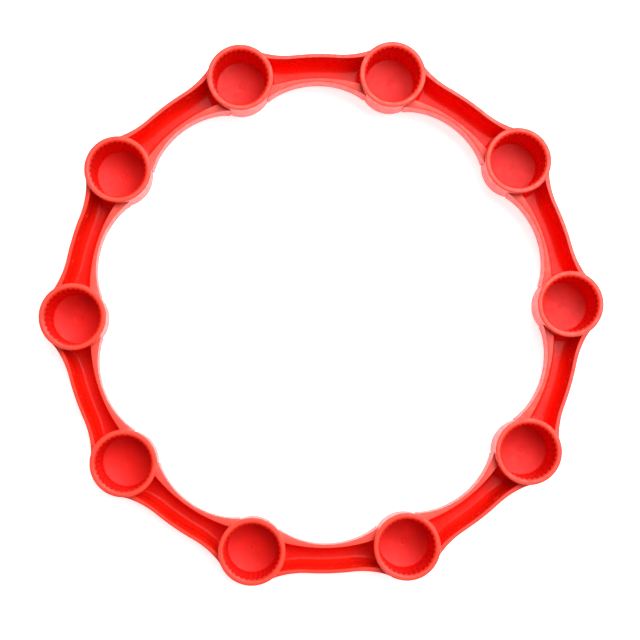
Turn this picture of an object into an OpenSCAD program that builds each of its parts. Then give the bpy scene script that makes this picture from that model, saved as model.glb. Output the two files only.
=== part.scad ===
// Ring of ten open cups joined by ten curved channel arms.
// Origin: centre of the ring, on the plane that the cups stand on. +X runs through cup_01.

/* [Ring] */
// Width over two opposite cups, mm
ring_od = 320; // [312:1:328]

/* [Cups] */
// Diameter of a cup over its rim
cup_od = 37.8; // [36.8:0.1:39]
// Height of a cup, from its base to its rim
cup_h = 28; // [26:0.5:32]
// Clear bore of a cup, inside its fluting
cup_bore_d = 30; // [28:0.1:31]
// Thickness of a cup's floor
cup_floor = 2.4; // [2:0.1:4]
// Width of the sloped band between the bore and the flat rim
lead_in_w = 1.4; // [0.8:0.1:1.8]
// Height of the sloped band
lead_in_h = 0.8; // [0.4:0.1:1.5]
// Rounding of a cup's outer edge at its base
base_round = 3; // [1:0.5:4]

/* [Arms] */
// How far the arms lie below the cups' rims
arm_drop = 6; // [4:0.5:8]
// Height of an arm's underside above the plane that the cups stand on
arm_lift = 1; // [0:0.5:3]
// Thickness of an arm's floor, under its channel
arm_floor = 2.4; // [1.5:0.1:5]
// Distance of an arm's outer edge outside the cups' pitch circle, at mid-arm
arm_outside = 7.3; // [6:0.1:8]
// Distance of an arm's inner edge inside the cups' pitch circle, at mid-arm
arm_inside = 8.8; // [8:0.1:10]
// Thickness of an arm's outer wall
outer_wall = 2.3; // [1.5:0.1:3]
// Thickness of an arm's inner wall, at mid-arm
inner_wall = 2; // [1.5:0.1:3]
// Radius of the arch that an arm's inner edge follows
arm_arch_r = 48.6; // [47:0.2:52]
// Radius of the flatter arch that the channel's inner edge follows
channel_arch_r = 88; // [80:1:100]

/* [Hidden] */
$fn = 96;

cup_count = 10;
pitch = 360 / cup_count;
half_pitch = pitch / 2;
cup_r = cup_od / 2;
bore_r = cup_bore_d / 2;
pitch_r = ring_od / 2 - cup_r;
rim_edge = 0.5;
round_steps = 6;
arm_top_z = cup_h - arm_drop;
channel_floor_z = arm_lift + arm_floor;
arm_outer_r = pitch_r + arm_outside;
arm_inner_r = pitch_r - arm_inside;

// An arm lies along +X from the ring's centre, with a cup half a pitch to either side.
// Its outer edge runs on a circle about the ring's centre, and flares out to the cup on an
// arc that is tangent to that circle. Angles on a cup are from its outermost point.
flare_start = 4.8;
arm_meets_cup = 42;
channel_meets_cup = 68;
arm_arch_end = 42;
channel_arch_end = 24;
arc_steps = 12;
over = 1;

cup_centre = polar(pitch_r, half_pitch);

function polar(r, a) = [r * cos(a), r * sin(a)];
function arc(centre, r, from, to) =
    [for (i = [0 : arc_steps]) centre + polar(r, from + (to - from) * i / arc_steps)];
// A point on the cup's edge, on the side that faces the arm
function cup_edge(a) = cup_centre + polar(cup_r, half_pitch - a);
// Radius of the arc that is tangent to the circle of radius r at flare_start and ends at p
function flare_radius(r, p) =
    let (turn = atan2(p[1], p[0]) - flare_start,
         along = norm(p) * cos(turn) - r,
         across = norm(p) * sin(turn))
    (along * along + across * across) / (2 * along);
function flare(r, p) =
    let (flare_r = flare_radius(r, p),
         sweep = 2 * asin(norm(p - polar(r, flare_start)) / (2 * flare_r)))
    arc(polar(r + flare_r, flare_start), flare_r, flare_start + 180, flare_start + 180 - sweep);
// Half of an arm's outline, from mid-arm to the middle of the cup and back along the arch
function half_band(r, meets_cup, arch_top, arch_r, arch_end) = concat(
    arc([0, 0], r, 0, flare_start),
    [for (i = [1 : arc_steps]) flare(r, cup_edge(meets_cup))[i]],
    [cup_centre],
    arc([arch_top - arch_r, 0], arch_r, arch_end, 0)
);
function mirrored(points) = [for (i = [len(points) - 2 : -1 : 1]) [points[i][0], -points[i][1]]];

module band(height, half) {
    linear_extrude(height)
    polygon(concat(half, mirrored(half)));
}

module cup_profile() {
    polygon(concat(
        [[0, 0]],
        [for (i = [0 : round_steps])
            [cup_r - base_round, base_round] + polar(base_round, -90 + 90 * i / round_steps)],
        [[cup_r, cup_h - rim_edge], [cup_r - rim_edge, cup_h],
         [bore_r + lead_in_w, cup_h], [bore_r, cup_h - lead_in_h],
         [bore_r, cup_floor], [0, cup_floor]]
    ));
}

module cup(i) {
    color("orangered")
    rotate([0, 0, (i - 1) * pitch])
    translate([pitch_r, 0, 0])
    rotate_extrude()
    cup_profile();
}

module link_arm(i) {
    color("red")
    rotate([0, 0, (i - 1) * pitch + half_pitch])
    difference() {
        translate([0, 0, arm_lift])
            band(arm_top_z - arm_lift,
                 half_band(arm_outer_r, arm_meets_cup, arm_inner_r, arm_arch_r, arm_arch_end));
        translate([0, 0, channel_floor_z])
            band(arm_top_z,
                 half_band(arm_outer_r - outer_wall, channel_meets_cup,
                           arm_inner_r + inner_wall, channel_arch_r, channel_arch_end));
        for (side = [-1, 1])
            translate([cup_centre[0], side * cup_centre[1], -over])
            cylinder(r = cup_r, h = cup_h + 2 * over);
    }
}

cup(1);  // cup_01
cup(2);  // cup_02
cup(3);  // cup_03
cup(4);  // cup_04
cup(5);  // cup_05
cup(6);  // cup_06
cup(7);  // cup_07
cup(8);  // cup_08
cup(9);  // cup_09
cup(10);  // cup_10
link_arm(1);  // link_arm_01
link_arm(2);  // link_arm_02
link_arm(3);  // link_arm_03
link_arm(4);  // link_arm_04
link_arm(5);  // link_arm_05
link_arm(6);  // link_arm_06
link_arm(7);  // link_arm_07
link_arm(8);  // link_arm_08
link_arm(9);  // link_arm_09
link_arm(10);  // link_arm_10
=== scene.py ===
"""Visual model of a moulded ring of ten fluted cups joined by ten channel arms, in metres."""

import logging
import math
from dataclasses import dataclass
from enum import IntEnum

import bpy
import numpy as np
from mathutils import Matrix, Vector


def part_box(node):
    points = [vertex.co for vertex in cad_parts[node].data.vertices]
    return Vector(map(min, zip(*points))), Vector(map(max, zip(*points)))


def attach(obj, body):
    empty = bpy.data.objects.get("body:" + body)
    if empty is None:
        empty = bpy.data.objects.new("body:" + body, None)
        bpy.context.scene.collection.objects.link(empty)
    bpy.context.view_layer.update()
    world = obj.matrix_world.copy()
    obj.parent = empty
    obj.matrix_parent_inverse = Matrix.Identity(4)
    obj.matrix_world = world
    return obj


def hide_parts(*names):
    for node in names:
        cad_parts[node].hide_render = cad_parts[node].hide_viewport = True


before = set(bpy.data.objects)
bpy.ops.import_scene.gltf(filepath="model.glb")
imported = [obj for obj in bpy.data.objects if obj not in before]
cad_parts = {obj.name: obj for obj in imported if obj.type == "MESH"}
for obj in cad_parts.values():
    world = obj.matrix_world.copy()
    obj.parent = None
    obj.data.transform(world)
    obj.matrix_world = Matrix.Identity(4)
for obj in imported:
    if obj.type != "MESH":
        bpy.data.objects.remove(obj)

log = logging.getLogger("cup_ring")
logging.basicConfig(level=logging.INFO, format="%(name)s: %(message)s")

MM = 0.001
CUP_SLOT = "cup_plastic"
ARM_SLOT = "arm_plastic"
CUP_COUNT = 10
PITCH = 2 * math.pi / CUP_COUNT
HALF_PITCH = PITCH / 2


class Surface(IntEnum):
    """The finish of a face, as its material index on a piece."""

    RIM = 0
    LEAD_IN = 1
    FLUTES = 2
    CUP_FLOOR = 3
    OUTSIDE = 4
    CHANNEL = 5
    MARK = 6


# ---------------------------------------------------------------- finishes


@dataclass(frozen=True)
class MouldedPlastic:
    """Red moulded plastic with its own gloss, grain and wear.

    Attributes:
        name: the material's name.
        colour: linear colour of the plastic.
        deep: linear colour of its darker, thicker patches.
        rough: lowest roughness of the surface.
        rough_worn: highest roughness, where it is rubbed.
        grain_mm: size of the fine surface grain.
        grain_height_mm: height of that grain.
        ripple_height_mm: height of the slow waviness that moulding leaves.
        specular: specular level of the surface.
        scatter: share of light that scatters inside the plastic.
    """

    name: str
    colour: tuple[float, float, float]
    deep: tuple[float, float, float]
    rough: float
    rough_worn: float
    grain_mm: float = 0.35
    grain_height_mm: float = 0.01
    ripple_height_mm: float = 0.03
    specular: float = 0.5
    scatter: float = 0.0

    def material(self) -> bpy.types.Material:
        """Builds the node material, or returns it if it is already made."""
        made = bpy.data.materials.get(self.name)
        if made:
            return made
        material = bpy.data.materials.new(self.name)
        material.use_nodes = True
        material.diffuse_color = (*self.colour, 1.0)
        nodes, links = material.node_tree.nodes, material.node_tree.links
        nodes.clear()
        output = nodes.new("ShaderNodeOutputMaterial")
        shader = nodes.new("ShaderNodeBsdfPrincipled")
        links.new(shader.outputs["BSDF"], output.inputs["Surface"])
        shader.inputs["IOR"].default_value = 1.49
        shader.inputs["Specular IOR Level"].default_value = self.specular
        shader.inputs["Subsurface Weight"].default_value = self.scatter
        shader.inputs["Subsurface Radius"].default_value = (1.0, 0.12, 0.05)
        shader.inputs["Subsurface Scale"].default_value = 2.5 * MM
        place = nodes.new("ShaderNodeTexCoord").outputs["Object"]

        clouds = self._noise(nodes, links, place, 14.0, 4.0)
        tint = nodes.new("ShaderNodeMix")
        tint.data_type = "RGBA"
        tint.inputs["A"].default_value = (*self.deep, 1.0)
        tint.inputs["B"].default_value = (*self.colour, 1.0)
        links.new(self._ramp(nodes, links, clouds, 0.38, 0.58), tint.inputs["Factor"])
        links.new(tint.outputs["Result"], shader.inputs["Base Color"])

        rubs = self._noise(nodes, links, place, 3.2, 6.0)
        wear = nodes.new("ShaderNodeMapRange")
        wear.inputs["From Min"].default_value = 0.4
        wear.inputs["From Max"].default_value = 0.68
        wear.inputs["To Min"].default_value = self.rough
        wear.inputs["To Max"].default_value = self.rough_worn
        links.new(rubs, wear.inputs["Value"])
        links.new(wear.outputs["Result"], shader.inputs["Roughness"])

        ripple = self._bump(nodes, links, self._noise(nodes, links, place, 9.0, 1.0),
                            self.ripple_height_mm, None)
        grain = self._bump(nodes, links, self._noise(nodes, links, place, self.grain_mm, 3.0),
                           self.grain_height_mm, ripple)
        links.new(grain, shader.inputs["Normal"])
        return material

    @staticmethod
    def _noise(nodes, links, place, size_mm: float, detail: float) -> bpy.types.NodeSocket:
        """Adds noise whose features are about size_mm across, and returns its value."""
        noise = nodes.new("ShaderNodeTexNoise")
        noise.inputs["Scale"].default_value = 1 / (size_mm * MM)
        noise.inputs["Detail"].default_value = detail
        links.new(place, noise.inputs["Vector"])
        return noise.outputs["Fac"]

    @staticmethod
    def _ramp(nodes, links, value, low: float, high: float) -> bpy.types.NodeSocket:
        """Stretches value so that low to high becomes 0 to 1."""
        stretch = nodes.new("ShaderNodeMapRange")
        stretch.inputs["From Min"].default_value = low
        stretch.inputs["From Max"].default_value = high
        links.new(value, stretch.inputs["Value"])
        return stretch.outputs["Result"]

    @staticmethod
    def _bump(nodes, links, height, height_mm: float, under) -> bpy.types.NodeSocket:
        """Adds a bump of height_mm over the normal under it, and returns the new normal."""
        bump = nodes.new("ShaderNodeBump")
        bump.inputs["Distance"].default_value = height_mm * MM
        bump.inputs["Strength"].default_value = 1.0
        links.new(height, bump.inputs["Height"])
        if under is not None:
            links.new(under, bump.inputs["Normal"])
        return bump.outputs["Normal"]


# The rim colour is lighter and pinker than the other red finishes. It is a painted highlight for the
# softbox's sheen on the flat top faces of the cups and arms.
RIM_PAINTED_HIGHLIGHT_FINISH = MouldedPlastic(
    "red_rim_painted_highlight", (0.95, 0.050, 0.020), (0.94, 0.043, 0.017), 0.42, 0.60,
    grain_mm=0.5, grain_height_mm=0.006, specular=0.6, scatter=0.15)
LEAD_IN_FINISH = MouldedPlastic(
    "red_lead_in", (0.95, 0.020, 0.003), (0.93, 0.015, 0.002), 0.34, 0.48,
    grain_height_mm=0.003, specular=0.35, scatter=0.2)
FLUTE_FINISH = MouldedPlastic(
    "red_fluted_wall", (0.90, 0.007, 0.001), (0.86, 0.005, 0.001), 0.34, 0.5,
    grain_height_mm=0.002, ripple_height_mm=0.01, scatter=0.2)
CUP_FLOOR_FINISH = MouldedPlastic(
    "red_cup_floor", (0.90, 0.013, 0.008), (0.78, 0.010, 0.006), 0.36, 0.46,
    grain_mm=0.7, grain_height_mm=0.008, ripple_height_mm=0.015, specular=0.18)
OUTSIDE_FINISH = MouldedPlastic(
    "red_outside", (0.95, 0.03, 0.012), (0.93, 0.025, 0.01), 0.3, 0.45,
    grain_height_mm=0.004, specular=0.42, scatter=0.2)
CHANNEL_FINISH = MouldedPlastic(
    "red_channel", (0.97, 0.018, 0.007), (0.95, 0.015, 0.005), 0.26, 0.34,
    grain_height_mm=0.001, ripple_height_mm=0.008, specular=0.16)
MARK_FINISH = MouldedPlastic(
    "red_pin_mark", (0.96, 0.016, 0.006), (0.94, 0.013, 0.004), 0.22, 0.34,
    grain_height_mm=0.001, ripple_height_mm=0.004, specular=0.4)
FINISHES = {
    Surface.RIM: RIM_PAINTED_HIGHLIGHT_FINISH,
    Surface.LEAD_IN: LEAD_IN_FINISH,
    Surface.FLUTES: FLUTE_FINISH,
    Surface.CUP_FLOOR: CUP_FLOOR_FINISH,
    Surface.OUTSIDE: OUTSIDE_FINISH,
    Surface.CHANNEL: CHANNEL_FINISH,
    Surface.MARK: MARK_FINISH,
}


# ---------------------------------------------------------------- mesh helpers


def polar(radius, angle) -> np.ndarray:
    """Points at a radius and an angle in radians, as (..., 2) coordinates."""
    return np.stack([radius * np.cos(angle), radius * np.sin(angle)], axis=-1)


def fillet(distance: np.ndarray, radius: float) -> np.ndarray:
    """How far a fillet stands off its surface at a distance from the wall that it runs into."""
    reach = radius - np.clip(distance, 0.0, radius)
    return radius - np.sqrt(radius * radius - reach * reach)


def higher(a: np.ndarray, b: np.ndarray, blend: float) -> np.ndarray:
    """The higher of two heights, rounded where they cross over a blend's height in mm."""
    near = np.clip(blend - np.abs(a - b), 0.0, None) / blend
    return np.maximum(a, b) + near * near * blend / 4


def new_object(name: str, points: np.ndarray, faces: list, surfaces: list) -> bpy.types.Object:
    """Makes a mesh object with one material per Surface.

    Args:
        name: the object's name.
        points: vertex positions in millimetres.
        faces: tuples of vertex numbers.
        surfaces: the Surface of each face.

    Returns:
        The linked object, smooth shaded.
    """
    mesh = bpy.data.meshes.new(name)
    mesh.from_pydata([tuple(p) for p in points * MM], [], faces)
    for surface in Surface:
        mesh.materials.append(FINISHES[surface].material())
    mesh.polygons.foreach_set("material_index", [int(s) for s in surfaces])
    mesh.polygons.foreach_set("use_smooth", [True] * len(faces))
    mesh.update()
    piece = bpy.data.objects.new(name, mesh)
    bpy.context.scene.collection.objects.link(piece)
    return piece


def ring_quads(rows: int, columns: int) -> list[tuple[int, int, int, int]]:
    """Quads between rows of points that each close on themselves."""
    quads = []
    for row in range(rows - 1):
        for column in range(columns):
            turn = (column + 1) % columns
            quads.append((row * columns + column, row * columns + turn,
                          (row + 1) * columns + turn, (row + 1) * columns + column))
    return quads


# ---------------------------------------------------------------- geometry nodes


class NodeTree:
    """A Geometry Nodes tree built in order, with named inputs."""

    def __init__(self, name: str) -> None:
        """Starts a tree that takes and gives one geometry."""
        self.tree = bpy.data.node_groups.new(name, "GeometryNodeTree")
        self.identifiers: dict[str, str] = {}
        self.tree.interface.new_socket("Geometry", in_out="INPUT", socket_type="NodeSocketGeometry")
        self.tree.interface.new_socket("Geometry", in_out="OUTPUT", socket_type="NodeSocketGeometry")
        self.start = self.tree.nodes.new("NodeGroupInput")
        self.end = self.tree.nodes.new("NodeGroupOutput")

    def input(self, name: str, kind: str) -> bpy.types.NodeSocket:
        """Adds a named input of a socket type and returns its socket."""
        item = self.tree.interface.new_socket(name, in_out="INPUT", socket_type=kind)
        self.identifiers[name] = item.identifier
        return self.start.outputs[name]

    def add(self, kind: str, links: dict | None = None, **settings) -> bpy.types.Node:
        """Adds a node.

        Args:
            kind: the node's type name.
            links: input name or number to a socket to link, or a plain value.
            **settings: properties set on the node.

        Returns:
            The new node.
        """
        node = self.tree.nodes.new(kind)
        for key, value in settings.items():
            setattr(node, key, value)
        for key, value in (links or {}).items():
            if isinstance(value, bpy.types.NodeSocket):
                self.tree.links.new(value, node.inputs[key])
            else:
                node.inputs[key].default_value = value
        return node

    def math(self, operation: str, *values) -> bpy.types.NodeSocket:
        """Adds a maths node on one to three values and returns its result."""
        return self.add("ShaderNodeMath", dict(enumerate(values)), operation=operation).outputs[0]

    def attribute(self, name: str) -> bpy.types.NodeSocket:
        """Reads a named number from the mesh."""
        node = self.add("GeometryNodeInputNamedAttribute", {"Name": name}, data_type="FLOAT")
        return node.outputs["Attribute"]

    def finish(self, geometry: bpy.types.NodeSocket, selection: bpy.types.NodeSocket,
               material: bpy.types.NodeSocket) -> None:
        """Ends the tree in Realize Instances and Set Material on the selected faces."""
        real = self.add("GeometryNodeRealizeInstances", {"Geometry": geometry})
        painted = self.add("GeometryNodeSetMaterial",
                           {"Geometry": real.outputs["Geometry"], "Selection": selection,
                            "Material": material})
        self.tree.links.new(painted.outputs["Geometry"], self.end.inputs["Geometry"])

    def run(self, piece: bpy.types.Object, values: dict) -> bpy.types.Object:
        """Applies the tree to a piece and returns a plain object with the result.

        Args:
            piece: the object that the tree works on; it is removed.
            values: input name to value.

        Returns:
            A new object of the same name that holds the evaluated mesh.
        """
        modifier = piece.modifiers.new(self.tree.name, "NODES")
        modifier.node_group = self.tree
        for name, value in values.items():
            modifier[self.identifiers[name]] = value
        evaluated = piece.evaluated_get(bpy.context.evaluated_depsgraph_get())
        mesh = bpy.data.meshes.new_from_object(evaluated)
        name = piece.name
        piece.modifiers.remove(modifier)
        bpy.data.objects.remove(piece)
        result = bpy.data.objects.new(name, mesh)
        bpy.context.scene.collection.objects.link(result)
        return result


# ---------------------------------------------------------------- cups


@dataclass
class CupShell:
    """A cup about its own axis, in millimetres, standing on z = 0."""

    outer_r: float
    height: float
    bore_top_r: float = 15.25
    bore_foot_r: float = 14.65
    lead_in_w: float = 1.35
    lead_in_h: float = 0.8
    rim_edge: float = 0.75
    lip_h: float = 2.3
    lip_step: float = 0.22
    wall_draft: float = 0.04
    base_round: float = 3.0
    floor_edge_z: float = 4.0
    floor_dish: float = 1.5
    floor_fillet: float = 0.9
    gate_r: float = 1.1
    gate_h: float = 0.22
    gate_ditch: float = 0.5
    gate_ditch_deep: float = 0.06
    gate_round_r: float = 2.2
    floor_rings: int = 12
    flutes: int = 33
    flute_steps: int = 12
    flute_depth: float = 0.56
    crest_share: float = 0.2
    flute_shape: float = 0.75

    def wall_r(self, z: float) -> float:
        """Radius of the drafted outer wall at a height, below the lip."""
        return self.outer_r - self.lip_step - self.wall_draft * (self.height - self.lip_h - z)

    def profile(self) -> list[tuple[float, float, float, float, Surface]]:
        """The cup's half section from the middle of its floor to the middle of its underside.

        Returns:
            A row per ring: radius, height, how much of the flute's depth it takes, how far it
            rises as the flute opens, and the Surface between it and the next ring.
        """
        floor_r = self.bore_foot_r - self.floor_fillet
        rows = self._floor_rows(floor_r)
        for step in range(1, 6):
            turn = math.pi / 2 * step / 5
            rows.append((floor_r + self.floor_fillet * math.sin(turn),
                         self.floor_edge_z + self.floor_fillet * (1 - math.cos(turn)),
                         0.0, 0.0, Surface.CUP_FLOOR if step < 4 else Surface.FLUTES))
        rows += self._wall_rows()
        rows += self._rim_rows()
        rows += self._outside_rows()
        return rows

    def _floor_rows(self, floor_r: float) -> list:
        """Rings of the dished floor, with the low nib of the gate in the middle."""
        rows = []
        middle_z = self._floor_z(0.0, floor_r)
        for r in (0.0, 0.35, 0.7, self.gate_r - 0.15):
            rows.append((r, middle_z + self.gate_h * (1 - (r / self.gate_round_r) ** 2), 0, 0,
                         Surface.CUP_FLOOR))
        ditch_z = middle_z - self.gate_ditch_deep
        rows.append((self.gate_r, ditch_z + 0.01, 0, 0, Surface.CUP_FLOOR))
        rows.append((self.gate_r + self.gate_ditch, ditch_z, 0, 0, Surface.CUP_FLOOR))
        for r in np.linspace(self.gate_round_r, floor_r, self.floor_rings):
            rows.append((float(r), self._floor_z(float(r), floor_r), 0, 0, Surface.CUP_FLOOR))
        return rows

    def _floor_z(self, r: float, floor_r: float) -> float:
        """Height of the dished floor at a radius."""
        return self.floor_edge_z - self.floor_dish * (1 - (r / floor_r) ** 2)

    def _wall_rows(self) -> list:
        """Rings of the fluted wall, from just above the floor to the lead-in."""
        foot_z = self.floor_edge_z + self.floor_fillet
        top_z = self.height - self.lead_in_h
        rows = []
        for share, depth in ((0.02, 0.35), (0.05, 0.8), (0.09, 1.0), (0.3, 1.0), (0.6, 1.0),
                             (0.85, 1.0)):
            rows.append((self.bore_foot_r + (self.bore_top_r - self.bore_foot_r) * share,
                         foot_z + (top_z - foot_z) * share, depth, 0.0, Surface.FLUTES))
        rows.append((self.bore_top_r, top_z, 1.0, 1.0, Surface.LEAD_IN))
        return rows

    def _rim_rows(self) -> list:
        """Rings of the sloped lead-in, the flat rim, its rounded edge and the lip under it."""
        flat_r = self.bore_top_r + self.lead_in_w
        edge_r = self.outer_r - self.rim_edge
        rows = [
            (flat_r - 0.18, self.height - 0.09, 0, 0, Surface.RIM),
            (flat_r + 0.12, self.height, 0, 0, Surface.RIM),
            ((flat_r + edge_r) / 2, self.height, 0, 0, Surface.RIM),
        ]
        for step in range(0, 7):
            turn = math.pi / 2 * step / 6
            rows.append((edge_r + self.rim_edge * math.sin(turn),
                         self.height - self.rim_edge * (1 - math.cos(turn)), 0, 0,
                         Surface.RIM if step < 4 else Surface.OUTSIDE))
        lip_z = self.height - self.lip_h
        rows.append((self.outer_r, lip_z + 0.35, 0, 0, Surface.OUTSIDE))
        rows.append((self.outer_r - 0.08, lip_z + 0.1, 0, 0, Surface.OUTSIDE))
        return rows

    def _outside_rows(self) -> list:
        """Rings of the drafted outer wall, the rounded base and the flat underside."""
        rows = [(self.wall_r(z), z, 0, 0, Surface.OUTSIDE)
                for z in (self.height - self.lip_h, 20.0, 14.0, 8.0)]
        round_r = self.wall_r(self.base_round) - self.base_round
        for step in range(0, 9):
            turn = math.pi / 2 * step / 8
            rows.append((round_r + self.base_round * math.cos(turn),
                         self.base_round * (1 - math.sin(turn)), 0, 0, Surface.OUTSIDE))
        rows += [(9.0, 0.0, 0, 0, Surface.OUTSIDE), (4.0, 0.0, 0, 0, Surface.OUTSIDE),
                 (0.0, 0.0, 0, 0, Surface.OUTSIDE)]
        return rows

    def build(self, name: str) -> bpy.types.Object:
        """Builds the cup about the origin, with its flutes cut by Geometry Nodes."""
        rows = self.profile()
        columns = self.flutes * self.flute_steps
        turn = np.linspace(0, 2 * math.pi, columns, endpoint=False)
        inner = rows[1:-1]
        points = np.concatenate([np.column_stack([polar(r, turn), np.full(columns, z)])
                                 for r, z, *_ in inner])
        first, last = len(points), len(points) + 1
        points = np.vstack([points, [0, 0, rows[0][1]], [0, 0, rows[-1][1]]])
        faces = ring_quads(len(inner), columns)
        surfaces = [row[4] for row in inner[:-1] for _ in range(columns)]
        end = (len(inner) - 1) * columns
        for column in range(columns):
            following = (column + 1) % columns
            faces += [(first, following, column), (end + column, end + following, last)]
            surfaces += [rows[0][4], Surface.OUTSIDE]
        faces = [face[::-1] for face in faces]
        piece = new_object(name, points, faces, surfaces)
        for label, index in (("flute_depth", 2), ("flute_rise", 3)):
            values = np.zeros(len(points))
            values[:first] = np.repeat([row[index] for row in inner], columns)
            piece.data.attributes.new(label, "FLOAT", "POINT").data.foreach_set("value", values)
        return self.cut_flutes(piece)

    def cut_flutes(self, piece: bpy.types.Object) -> bpy.types.Object:
        """Presses evenly spaced flutes into the marked part of the wall."""
        tree = NodeTree("cup_fluting")
        count = tree.input("Flutes", "NodeSocketInt")
        depth = tree.input("Depth", "NodeSocketFloat")
        rise = tree.input("Rise at Rim", "NodeSocketFloat")
        crest = tree.input("Crest Share", "NodeSocketFloat")
        shape = tree.input("Shape", "NodeSocketFloat")
        finish = tree.input("Finish", "NodeSocketMaterial")
        place = tree.add("GeometryNodeInputPosition").outputs["Position"]
        split = tree.add("ShaderNodeSeparateXYZ", {0: place})
        angle = tree.math("ARCTAN2", split.outputs["Y"], split.outputs["X"])
        along = tree.math("FRACT", tree.math("MULTIPLY", tree.math("DIVIDE", angle, 2 * math.pi), count))
        inset = tree.math("SUBTRACT", along, tree.math("DIVIDE", crest, 2.0))
        across = tree.add("ShaderNodeClamp",
                          {"Value": tree.math("DIVIDE", inset, tree.math("SUBTRACT", 1.0, crest))})
        arch = tree.math("SINE", tree.math("MULTIPLY", across.outputs[0], math.pi))
        wave = tree.math("POWER", tree.math("MAXIMUM", arch, 0.0), shape)
        out = tree.math("MULTIPLY", tree.math("MULTIPLY", wave, depth), tree.attribute("flute_depth"))
        up = tree.math("MULTIPLY", tree.math("MULTIPLY", wave, rise), tree.attribute("flute_rise"))
        radial = tree.add("ShaderNodeCombineXYZ", {"X": split.outputs["X"], "Y": split.outputs["Y"]})
        unit = tree.add("ShaderNodeVectorMath", {0: radial.outputs[0]}, operation="NORMALIZE")
        push = tree.add("ShaderNodeVectorMath", {0: unit.outputs[0], "Scale": out}, operation="SCALE")
        lift = tree.add("ShaderNodeCombineXYZ", {"Z": up})
        offset = tree.add("ShaderNodeVectorMath", {0: push.outputs[0], 1: lift.outputs[0]},
                          operation="ADD")
        moved = tree.add("GeometryNodeSetPosition",
                         {"Geometry": tree.start.outputs["Geometry"], "Offset": offset.outputs[0]})
        index = tree.add("GeometryNodeInputMaterialIndex").outputs[0]
        fluted = tree.add("FunctionNodeCompare", {"A": tree.math("ADD", index, 0.0),
                                                  "B": float(Surface.FLUTES)},
                          data_type="FLOAT", operation="EQUAL")
        tree.finish(moved.outputs["Geometry"], fluted.outputs[0], finish)
        return tree.run(piece, {
            "Flutes": self.flutes, "Depth": self.flute_depth * MM,
            "Rise at Rim": self.flute_depth * self.lead_in_h / self.lead_in_w * MM,
            "Crest Share": self.crest_share, "Shape": self.flute_shape,
            "Finish": FLUTE_FINISH.material(),
        })


# ---------------------------------------------------------------- arms


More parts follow.
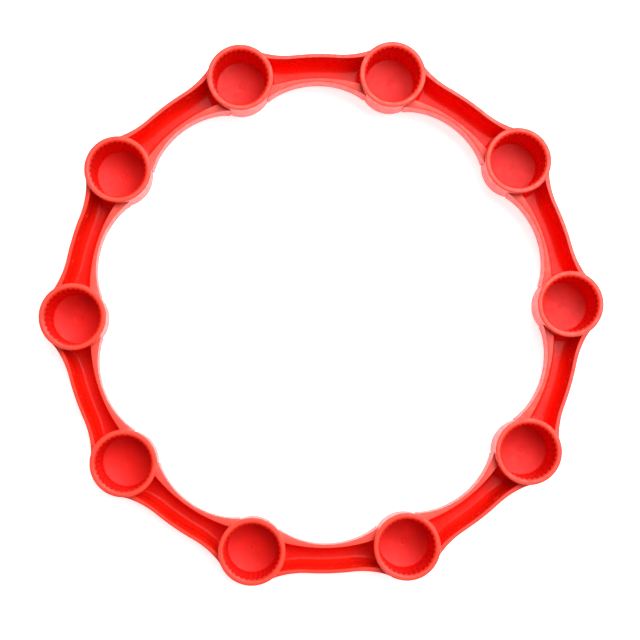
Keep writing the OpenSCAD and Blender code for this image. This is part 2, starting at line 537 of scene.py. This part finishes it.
@dataclass
class LinkArm:
    """An arm along +X from the ring's centre, in millimetres, with a cup half a pitch to each side."""

    cup: CupShell
    pitch_r: float
    bottom_z: float
    top_z: float
    outer_r: float
    inner_r: float
    outer_wall: float = 2.3
    inner_wall: float = 2.0
    arch_r: float = 48.6
    channel_arch_r: float = 88.0
    flare_start: float = math.radians(4.8)
    outer_meets_cup: float = math.radians(42)
    channel_outer_meets_cup: float = math.radians(68)
    floor_t: float = 2.4
    wall_draft: float = 0.05
    channel_draft: float = 0.045
    bottom_round: float = 6.0
    channel_round: float = 4.4
    end_round: float = 3.2
    corner_round: float = 1.1
    outside_corner_round: float = 1.6
    top_edge: float = 0.4
    channel_edge: float = 0.3
    end_r: float = 17.2
    wall_gap: float = 0.04
    wall_stations: int = 5
    hidden_slope: float = 6.0
    rim_band: float = 1.0
    floor_blend: float = 0.35
    corner_share: float = 0.78
    bend_power: int = 5
    arch_reach: float = math.radians(40)
    round_steps: int = 9
    marks: int = 3
    mark_sides: int = 40
    mark_r: float = 2.5
    mark_spacing: float = 13.6
    mark_drop: float = 8.6
    mark_h: float = 0.16
    curve_points: int = 200
    steady_stations: int = 24
    end_stations: int = 22

    @property
    def cup_centre(self) -> np.ndarray:
        """Centre of the cup on the +Y side."""
        return polar(self.pitch_r, HALF_PITCH)

    @property
    def floor_z(self) -> float:
        """Height of the channel's floor."""
        return self.bottom_z + self.floor_t

    def cup_edge(self, angle) -> np.ndarray:
        """Point on the cup's edge at an angle from its outermost point, towards mid-arm."""
        return self.cup_centre + polar(self.cup.outer_r, HALF_PITCH - angle)

    def flared_curve(self, radius: float, meets_cup: float) -> np.ndarray:
        """Curve from mid-arm that follows a circle about the ring's centre, then flares to the cup.

        Args:
            radius: radius of the circle.
            meets_cup: where the flare meets the cup, as an angle from its outermost point.

        Returns:
            Points along the curve.
        """
        end = self.cup_edge(meets_cup)
        turn = math.atan2(end[1], end[0]) - self.flare_start
        reach = float(np.hypot(*end))
        along, across = reach * math.cos(turn) - radius, reach * math.sin(turn)
        flare_r = (along ** 2 + across ** 2) / (2 * along)
        start = polar(radius, self.flare_start)
        sweep = 2 * math.asin(float(np.hypot(*(end - start))) / (2 * flare_r))
        steady = polar(radius, np.linspace(0, self.flare_start, self.curve_points))
        flare_turn = self.flare_start + math.pi - np.linspace(0, sweep, self.curve_points)
        flare = polar(radius + flare_r, self.flare_start) + polar(flare_r, flare_turn)
        return np.vstack([steady, flare[1:]])

    def arched_curve(self, top: float, radius: float) -> np.ndarray:
        """Curve from mid-arm along an arch, cut where it meets the cup's edge."""
        turn = np.linspace(0, self.arch_reach, 4 * self.curve_points)
        points = np.array([top - radius, 0.0]) + polar(radius, turn)
        clear = np.hypot(*(points - self.cup_centre).T) >= self.cup.outer_r
        return points[:int(np.argmin(clear))]

    @staticmethod
    def along(curve: np.ndarray, share: np.ndarray) -> np.ndarray:
        """Points at shares of a curve's length."""
        length = np.concatenate([[0], np.cumsum(np.hypot(*np.diff(curve, axis=0).T))])
        return np.column_stack([np.interp(share * length[-1], length, curve[:, k]) for k in (0, 1)])

    def side_rows(self) -> tuple[list, list]:
        """Section of one side of the arm.

        Returns:
            Two lists of the same length, for the outside and for the channel: inset from the
            edge and height, from the top edge down. The last row is the middle of the section,
            with no inset.
        """
        bevel = [0, 0.3, 0.7, 1.0]
        drop = self.top_z - self.top_edge
        outside = [(self.top_edge * (1 - math.sin(math.pi / 2 * b)),
                    self.top_z - self.top_edge * (1 - math.cos(math.pi / 2 * b))) for b in bevel]
        round_z = self.bottom_z + self.bottom_round
        outside += [(self.wall_draft * (drop - z), z)
                    for z in (drop - (drop - round_z) / 3, drop - 2 * (drop - round_z) / 3)]
        inset = self.wall_draft * (drop - round_z) + self.bottom_round
        outside += [(inset - self.bottom_round * math.cos(a), round_z - self.bottom_round * math.sin(a))
                    for a in np.linspace(0, math.pi / 2, self.round_steps)]
        channel = [(-self.channel_edge * math.sin(math.pi / 2 * (1 - b)),
                    self.top_z - self.channel_edge * (1 - math.cos(math.pi / 2 * b))) for b in bevel]
        round_z = self.floor_z + self.channel_round
        channel += [(self.channel_draft * (drop - z), z)
                    for z in (drop - (drop - round_z) / 3, drop - 2 * (drop - round_z) / 3)]
        inset = self.channel_draft * (drop - round_z) + self.channel_round
        channel += [(inset - self.channel_round * math.cos(a), round_z - self.channel_round * math.sin(a))
                    for a in np.linspace(0, math.pi / 2, self.round_steps)]
        return outside + [(None, self.bottom_z)], channel + [(None, self.floor_z)]

    def shares(self) -> np.ndarray:
        """Stations from mid-arm to the cup's edge, close together near the cup."""
        steady = np.linspace(0, self.corner_share, self.steady_stations, endpoint=False)
        return np.concatenate([steady, np.linspace(self.corner_share, 1.0, self.end_stations)])

    def sheet(self, near: np.ndarray, far: np.ndarray, rows: list, meets: tuple[float, float],
              inward: float) -> np.ndarray:
        """One skin of the arm, from the near edge over the middle to the far edge.

        Args:
            near: stations along the edge that is away from the ring's centre.
            far: stations along the edge towards the ring's centre.
            rows: inset and height of each line of a side, ending in the middle line.
            meets: where the two edges meet the cup, as angles from its outermost point.
            inward: 1 if the corners at the cup fill the skin's inside, -1 if its outside.

        Returns:
            Positions, as (line, station, 3).
        """
        width = np.hypot(*(far - near).T)
        bend = self.shares() ** self.bend_power
        lines = []
        for side, (inset, height) in ([(0, row) for row in rows]
                                      + [(1, row) for row in rows[-2::-1]]):
            share = np.full(len(width), 0.5) if inset is None else inset / width
            share = share if side == 0 else 1 - share
            flat = near + (far - near) * share[:, None]
            angle = meets[0] + (meets[1] - meets[0]) * share[-1]
            flat = flat + bend[:, None] * (self.cup_edge(angle) - flat[-1])
            reach = flat[-1] - self.cup_centre
            wall_r = self.cup.wall_r(height)
            to_wall = np.linspace(self.cup.outer_r, wall_r + self.wall_gap, self.wall_stations + 1)[1:]
            flat = np.vstack([flat, self.cup_centre + reach * (to_wall / self.cup.outer_r)[:, None]])
            across = np.vstack([far - near, np.repeat((far - near)[-1:], self.wall_stations, 0)])
            across /= np.hypot(*across.T)[:, None]
            away = np.hypot(*(flat - self.cup_centre).T) - wall_r
            radius = self.corner_round if inward > 0 else self.outside_corner_round
            weight = self.corner_weight(side, inset, height, inward)
            flat = flat + across * (weight * fillet(away, radius))[:, None]
            reach = flat[-1] - self.cup_centre
            hidden = np.linspace(float(np.hypot(*reach)), self.end_r, 3)[1:] / float(np.hypot(*reach))
            flat = np.vstack([flat, self.cup_centre + reach * hidden[:, None]])
            z = np.full(len(flat), height)
            if inward > 0:
                foot = np.hypot(*(flat - self.cup_centre).T) - self.cup.wall_r(self.floor_z)
                rise = (self.floor_z + fillet(foot, self.end_round)
                        + self.hidden_slope * np.clip(-foot, 0, None))
                if height < self.top_z - self.rim_band:
                    z = np.minimum(higher(z, rise, self.floor_blend), self.top_z)
            lines.append(np.column_stack([flat, z]))
        return np.array(lines)

    def corner_weight(self, side: int, inset: float | None, height: float, inward: float) -> float:
        """How far a line's corner at the cup is filled, and to which side of the line.

        Args:
            side: 0 away from the ring's centre, 1 towards it.
            inset: the line's inset from its edge, None on the middle line.
            height: the line's height.
            inward: 1 in the channel, -1 outside.
        """
        if inset is None or (inward < 0 and side == 1):
            return 0.0
        low = float(np.clip((height - self.floor_z) / self.bottom_round, 0, 1))
        return (1.0 if side == 0 else -1.0) * inward * low

    def build(self, name: str) -> bpy.types.Object:
        """Builds the arm in place between two cups, with its pin marks from Geometry Nodes."""
        shares = self.shares()
        outer = self.along(self.flared_curve(self.outer_r, self.outer_meets_cup), shares)
        inner = self.along(self.arched_curve(self.inner_r, self.arch_r), shares)
        channel_outer = self.along(
            self.flared_curve(self.outer_r - self.outer_wall, self.channel_outer_meets_cup), shares)
        channel_inner = self.along(
            self.arched_curve(self.inner_r + self.inner_wall, self.channel_arch_r), shares)
        outside_rows, channel_rows = self.side_rows()
        outside = self.sheet(outer, inner, outside_rows,
                             (self.outer_meets_cup, self.meets(inner[-1])), -1)
        channel = self.sheet(channel_outer, channel_inner, channel_rows,
                             (self.channel_outer_meets_cup, self.meets(channel_inner[-1])), 1)
        loop = np.concatenate([outside, channel[::-1]])
        mirror = loop[:, :0:-1] * [1, -1, 1]
        loop = np.concatenate([mirror, loop], axis=1)
        return self.add_pin_marks(self.skin(name, loop, len(outside)))

    def meets(self, point: np.ndarray) -> float:
        """Angle of a point on the cup from the cup's outermost point."""
        reach = point - self.cup_centre
        return (HALF_PITCH - math.atan2(reach[1], reach[0])) % (2 * math.pi)

    def skin(self, name: str, loop: np.ndarray, half: int) -> bpy.types.Object:
        """Closes the lines round the section, and the arm's two hidden ends.

        Args:
            name: the object's name.
            loop: positions, as (line, station, 3), the outside's lines before the channel's.
            half: how many of the lines belong to the outside.

        Returns:
            The arm's object.
        """
        lines, stations, _ = loop.shape
        faces, surfaces = [], []
        top_lines = {0, 1, 2, half - 2, half - 3}
        for line in range(lines):
            following = (line + 1) % lines
            if line in (half - 1, lines - 1):
                surface = Surface.RIM
            elif line < half - 1:
                surface = Surface.RIM if line in top_lines else Surface.OUTSIDE
            else:
                surface = Surface.CHANNEL
            for station in range(stations - 1):
                faces.append((line * stations + station, following * stations + station,
                              following * stations + station + 1, line * stations + station + 1))
                surfaces.append(surface)
        for line in range(half - 1):
            other = lines - 1 - line
            corners = [line * stations, (line + 1) * stations, (other - 1) * stations, other * stations]
            faces += [tuple(corners[::-1]), tuple(corner + stations - 1 for corner in corners)]
            surfaces += [Surface.OUTSIDE, Surface.OUTSIDE]
        return new_object(name, loop.reshape(-1, 3), faces, surfaces)

    def add_pin_marks(self, piece: bpy.types.Object) -> bpy.types.Object:
        """Sets the row of round ejector pin marks on the inner face of the outer wall."""
        tree = NodeTree("pin_marks")
        count = tree.input("Marks", "NodeSocketInt")
        spacing = tree.input("Spacing", "NodeSocketFloat")
        wall_r = tree.input("Wall Radius", "NodeSocketFloat")
        height = tree.input("Height", "NodeSocketFloat")
        radius = tree.input("Mark Radius", "NodeSocketFloat")
        depth = tree.input("Mark Depth", "NodeSocketFloat")
        tilt = tree.input("Wall Tilt", "NodeSocketFloat")
        finish = tree.input("Finish", "NodeSocketMaterial")
        row = tree.add("GeometryNodeMeshLine", {"Count": count}, mode="OFFSET")
        index = tree.add("GeometryNodeInputIndex").outputs[0]
        middle = tree.math("DIVIDE", tree.math("SUBTRACT", count, 1.0), 2.0)
        step = tree.math("SUBTRACT", index, middle)
        turn = tree.math("DIVIDE", tree.math("MULTIPLY", step, spacing), wall_r)
        place = tree.add("ShaderNodeCombineXYZ", {
            "X": tree.math("MULTIPLY", wall_r, tree.math("COSINE", turn)),
            "Y": tree.math("MULTIPLY", wall_r, tree.math("SINE", turn)), "Z": height})
        placed = tree.add("GeometryNodeSetPosition",
                          {"Geometry": row.outputs["Mesh"], "Position": place.outputs[0]})
        disc = tree.add("GeometryNodeMeshCylinder",
                        {"Vertices": self.mark_sides, "Side Segments": 1, "Fill Segments": 1,
                         "Radius": radius, "Depth": depth}, fill_type="TRIANGLE_FAN")
        facing = tree.add("ShaderNodeCombineXYZ",
                          {"Y": tree.math("SUBTRACT", tilt, math.pi / 2), "Z": turn})
        spread = tree.add("GeometryNodeInstanceOnPoints",
                          {"Points": placed.outputs["Geometry"], "Instance": disc.outputs["Mesh"],
                           "Rotation": facing.outputs[0]})
        real = tree.add("GeometryNodeRealizeInstances", {"Geometry": spread.outputs["Instances"]})
        tagged = tree.add("GeometryNodeStoreNamedAttribute",
                          {"Geometry": real.outputs["Geometry"], "Name": "pin_mark", "Value": 1.0},
                          data_type="FLOAT", domain="FACE")
        joined = tree.add("GeometryNodeJoinGeometry")
        tree.tree.links.new(tagged.outputs["Geometry"], joined.inputs[0])
        tree.tree.links.new(tree.start.outputs["Geometry"], joined.inputs[0])
        marked = tree.math("GREATER_THAN", tree.attribute("pin_mark"), 0.5)
        tree.finish(joined.outputs["Geometry"], marked, finish)
        mark_z = self.top_z - self.mark_drop
        lean = self.channel_draft * self.mark_drop
        return tree.run(piece, {
            "Marks": self.marks, "Spacing": self.mark_spacing * MM,
            "Wall Radius": (self.outer_r - self.outer_wall - lean) * MM, "Height": mark_z * MM,
            "Mark Radius": self.mark_r * MM, "Mark Depth": 2 * self.mark_h * MM,
            "Wall Tilt": math.atan(self.channel_draft), "Finish": MARK_FINISH.material(),
        })


# ---------------------------------------------------------------- assembly


@dataclass
class CupRing:
    """The whole ring: it copies one finished cup and one finished arm round the circle."""

    arm_outside: float = 7.3
    arm_inside: float = 8.8
    sharp_angle: float = math.radians(38)

    def __post_init__(self) -> None:
        """Reads the driving sizes off the frame."""
        low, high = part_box("cup_01")
        self.pitch_r = (low.x + high.x) / 2 / MM
        self.cup = CupShell(outer_r=(high.x - low.x) / 2 / MM, height=(high.z - low.z) / MM)
        low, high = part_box("link_arm_03")
        self.arm = LinkArm(cup=self.cup, pitch_r=self.pitch_r, bottom_z=low.z / MM, top_z=high.z / MM,
                           outer_r=self.pitch_r + self.arm_outside,
                           inner_r=self.pitch_r - self.arm_inside)
        log.info("pitch radius %.2f mm", self.pitch_r)

    def build(self) -> list[bpy.types.Object]:
        """Builds every cup and arm in place, names each for its node, hides that node's part and hangs
        the piece on the root body.
        """
        cup = self.cup.build("cup_master")
        arm = self.arm.build("arm_master")
        pieces = []
        for number in range(CUP_COUNT):
            turn = Matrix.Rotation(number * PITCH, 4, "Z")
            move = Matrix.Translation(Vector((self.pitch_r * MM, 0, 0)))
            pieces.append(self.place(cup, f"cup_{number + 1:02d}", turn @ move, CUP_SLOT))
            half_turn = Matrix.Rotation(number * PITCH + HALF_PITCH, 4, "Z")
            pieces.append(self.place(arm, f"link_arm_{number + 1:02d}", half_turn, ARM_SLOT))
        for master in (cup, arm):
            bpy.data.objects.remove(master)
        return pieces

    def place(self, master: bpy.types.Object, node: str, matrix: Matrix, slot: str) -> bpy.types.Object:
        """Copies a master piece into place.

        Args:
            master: the finished piece about its own origin.
            node: the CAD node that the copy stands for.
            matrix: where the copy goes, applied to its mesh.
            slot: the record's material slot; not used.

        Returns:
            The new piece, riding on the root body.
        """
        mesh = master.data.copy()
        mesh.name = f"{node}_moulding"
        mesh.transform(matrix)
        mesh.set_sharp_from_angle(angle=self.sharp_angle)
        piece = bpy.data.objects.new(f"{node}_moulding", mesh)
        bpy.context.scene.collection.objects.link(piece)
        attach(piece, "root")
        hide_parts(node)
        log.info("%s: %d faces", piece.name, len(mesh.polygons))
        return piece


# ---------------------------------------------------------------- studio


@dataclass
class Studio:
    """Plain white table, one softbox from the upper right, a faint even surround, and the camera."""

    table_half: float = 3.0
    lens_mm: float = 73.1
    eye: tuple[float, float, float] = (-0.0266, -0.0441, 0.7606)
    tilt: tuple[float, float] = (3.066, -1.844)
    roll: float = -1.574
    white: tuple[float, float, float] = (0.92, 0.92, 0.92)
    table_glow: float = 0.75
    surround: float = 0.16
    softbox_place: tuple[float, float, float] = (0.75, 0.85, 1.9)
    softbox_size: float = 2.0
    softbox_power: float = 80.0

    def build(self) -> None:
        """Sets up the table, the softbox, the world and the camera."""
        self.table()
        self.world()
        self.softbox()
        self.camera()
        bpy.context.scene.view_settings.view_transform = "Standard"
        bpy.context.scene.view_settings.look = "None"

    def table(self) -> None:
        """Adds the white table that the ring lies on."""
        half = self.table_half
        mesh = bpy.data.meshes.new("table")
        mesh.from_pydata([(-half, -half, 0), (half, -half, 0), (half, half, 0), (-half, half, 0)],
                         [], [(0, 1, 2, 3)])
        material = bpy.data.materials.new("white_table")
        material.use_nodes = True
        shader = material.node_tree.nodes["Principled BSDF"]
        shader.inputs["Base Color"].default_value = (*self.white, 1)
        shader.inputs["Roughness"].default_value = 0.9
        shader.inputs["Emission Color"].default_value = (1, 1, 1, 1)
        shader.inputs["Emission Strength"].default_value = self.table_glow
        material.cycles.emission_sampling = "NONE"
        mesh.materials.append(material)
        table = bpy.data.objects.new("table", mesh)
        bpy.context.scene.collection.objects.link(table)

    def world(self) -> None:
        """Adds an even white surround."""
        world = bpy.data.worlds.new("surround")
        world.use_nodes = True
        back = world.node_tree.nodes["Background"]
        back.inputs["Color"].default_value = (1, 1, 1, 1)
        back.inputs["Strength"].default_value = self.surround
        bpy.context.scene.world = world

    def softbox(self) -> None:
        """Adds the square softbox, facing the ring's centre."""
        data = bpy.data.lights.new("key_softbox", "AREA")
        data.shape = "SQUARE"
        data.size = self.softbox_size
        data.energy = self.softbox_power
        lamp = bpy.data.objects.new("key_softbox", data)
        lamp.location = self.softbox_place
        lamp.rotation_euler = (-Vector(self.softbox_place)).to_track_quat("-Z", "Y").to_euler()
        bpy.context.scene.collection.objects.link(lamp)

    def camera(self) -> None:
        """Adds the camera, nearly straight above the ring."""
        data = bpy.data.cameras.new("camera")
        data.sensor_width = 36.0
        data.lens = self.lens_mm
        camera = bpy.data.objects.new("camera", data)
        camera.location = self.eye
        camera.rotation_euler = (math.radians(self.tilt[0]), math.radians(self.tilt[1]),
                                 math.radians(self.roll))
        bpy.context.scene.collection.objects.link(camera)
        bpy.context.scene.camera = camera


def main() -> None:
    """Builds the ring and its studio."""
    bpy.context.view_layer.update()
    pieces = CupRing().build()
    Studio().build()
    log.info("%d pieces", len(pieces))


if __name__ == "__main__":
    main()
